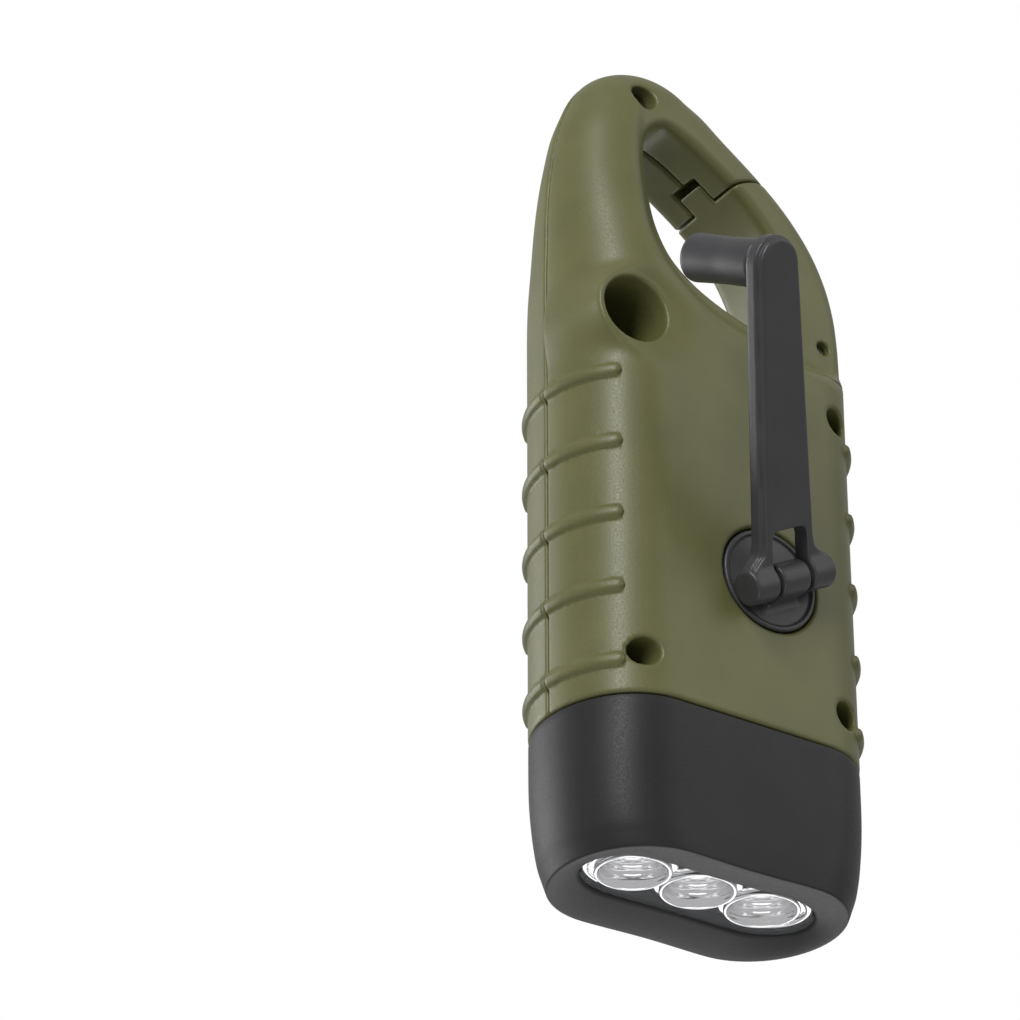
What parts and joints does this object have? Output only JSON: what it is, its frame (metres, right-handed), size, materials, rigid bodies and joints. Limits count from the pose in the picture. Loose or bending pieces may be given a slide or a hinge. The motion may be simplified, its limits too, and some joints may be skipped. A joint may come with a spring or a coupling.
{
  "type": "hand crank flashlight",
  "caption": "Hand crank and solar flashlight with an olive clamshell housing, a moulded carabiner hook, a folding crank with gear train and a black LED head.",
  "frame": {"origin": "middle of the bounding box in X and Y at the lens bezel, with the light standing on its head", "axes": "+Z along the light from the lens to the hook, +X to the spine of the hook, -X to its gate, -Y the solar side, +Y the crank side"},
  "size_m": [0.052, 0.0604, 0.14],
  "materials": {
    "olive_shell": "satin fine grain",
    "black_shell": "satin fine grain",
    "inner_black": "matte",
    "chrome": "polished",
    "clear": "clear polished plastic",
    "steel": "plated",
    "brass": "turned",
    "nylon": "moulded nylon",
    "board": "solder mask",
    "cell": "coated cell",
    "magnet": "plastic-bonded magnet",
    "copper": "enamelled wire",
    "sleeve": "shrink sleeve",
    "lead": "soft insulation"
  },
  "bodies": {
    "housing": {"front_shell": "olive_shell", "back_shell": "olive_shell", "gate_pin": "steel", "gate_spring": "steel", "shell_screw_1": "steel", "shell_screw_2": "steel", "shell_screw_3": "steel", "shell_screw_4": "steel", "head_cap": "black_shell", "lens_window": "clear", "lens_gasket": "inner_black", "reflector": "chrome", "led_1": "clear", "led_2": "clear", "led_3": "clear", "led_board": "board", "solar_frame": "black_shell", "solar_cell": "cell", "solar_window": "clear", "tact_switch": "inner_black", "main_board": "board", "hub_bush": "brass", "idler_axle_1": "steel", "idler_axle_2": "steel", "gear_plate": "steel", "plate_screw_1": "steel", "plate_screw_2": "steel", "plate_screw_3": "steel", "stator_can": "steel", "coil_bobbin": "copper", "battery_tray": "inner_black", "battery_cell_1": "sleeve", "battery_cell_2": "sleeve", "battery_cell_3": "sleeve", "wire_battery": "lead", "wire_led": "lead", "wire_generator": "lead"},
    "gate": {"carabiner_gate": "olive_shell"},
    "button": {"power_button": "inner_black"},
    "crank": {"crank_hub": "black_shell", "crank_shaft": "steel", "drive_gear": "nylon", "shaft_clip": "steel", "hinge_pin": "steel"},
    "arm": {"crank_arm": "black_shell", "knob_pin": "steel"},
    "knob": {"crank_knob": "black_shell"},
    "idler_1": {"idler_gear_1": "nylon"},
    "idler_2": {"idler_gear_2": "nylon"},
    "rotor": {"rotor_shaft": "steel", "rotor_pinion": "brass", "rotor_magnet": "magnet"}
  },
  "joints": [
    {"name": "crank_spin", "type": "hinge", "parent": "housing", "child": "crank", "pos_m": [-0.0038, 0.00018, 0.0467], "axis": [0, 1, 0], "continuous": true},
    {"name": "arm_fold", "type": "hinge", "parent": "crank", "child": "arm", "pos_m": [-0.00437, 0.00298, 0.04564], "axis": [-0.8788, 0, 0.4772], "range_deg": [-32, 148]},
    {"name": "knob_spin", "type": "hinge", "parent": "arm", "child": "knob", "pos_m": [0.01392, 0.02693, 0.07933], "axis": [0.2529, -0.848, 0.4657], "continuous": true},
    {"name": "gate_swing", "type": "hinge", "parent": "housing", "child": "gate", "pos_m": [-0.02, -0.01412, 0.095], "axis": [0, 1, 0], "range_deg": [0, 24], "stiffness_Nm_per_rad": 0.02, "springref_deg": -17.19},
    {"name": "button_press", "type": "slide", "parent": "housing", "child": "button", "axis": [1, 0, 0], "range_m": [0, 0.0006], "stiffness_N_per_m": 400, "springref_m": -0.0008},
    {"name": "idler_1_spin", "type": "hinge", "parent": "housing", "child": "idler_1", "pos_m": [0.00447, -0.00812, 0.05621], "axis": [0, 1, 0], "continuous": true},
    {"name": "idler_2_spin", "type": "hinge", "parent": "housing", "child": "idler_2", "pos_m": [0.01047, -0.01112, 0.04582], "axis": [0, 1, 0], "continuous": true},
    {"name": "rotor_spin", "type": "hinge", "parent": "housing", "child": "rotor", "pos_m": [0.00358, -0.01412, 0.03599], "axis": [0, 1, 0], "continuous": true}
  ],
  "couplings": [
    {"joint": "idler_1_spin", "follows": "crank_spin", "ratio": -3.2},
    {"joint": "idler_2_spin", "follows": "crank_spin", "ratio": 9.6},
    {"joint": "rotor_spin", "follows": "crank_spin", "ratio": -28.8}
  ]
}
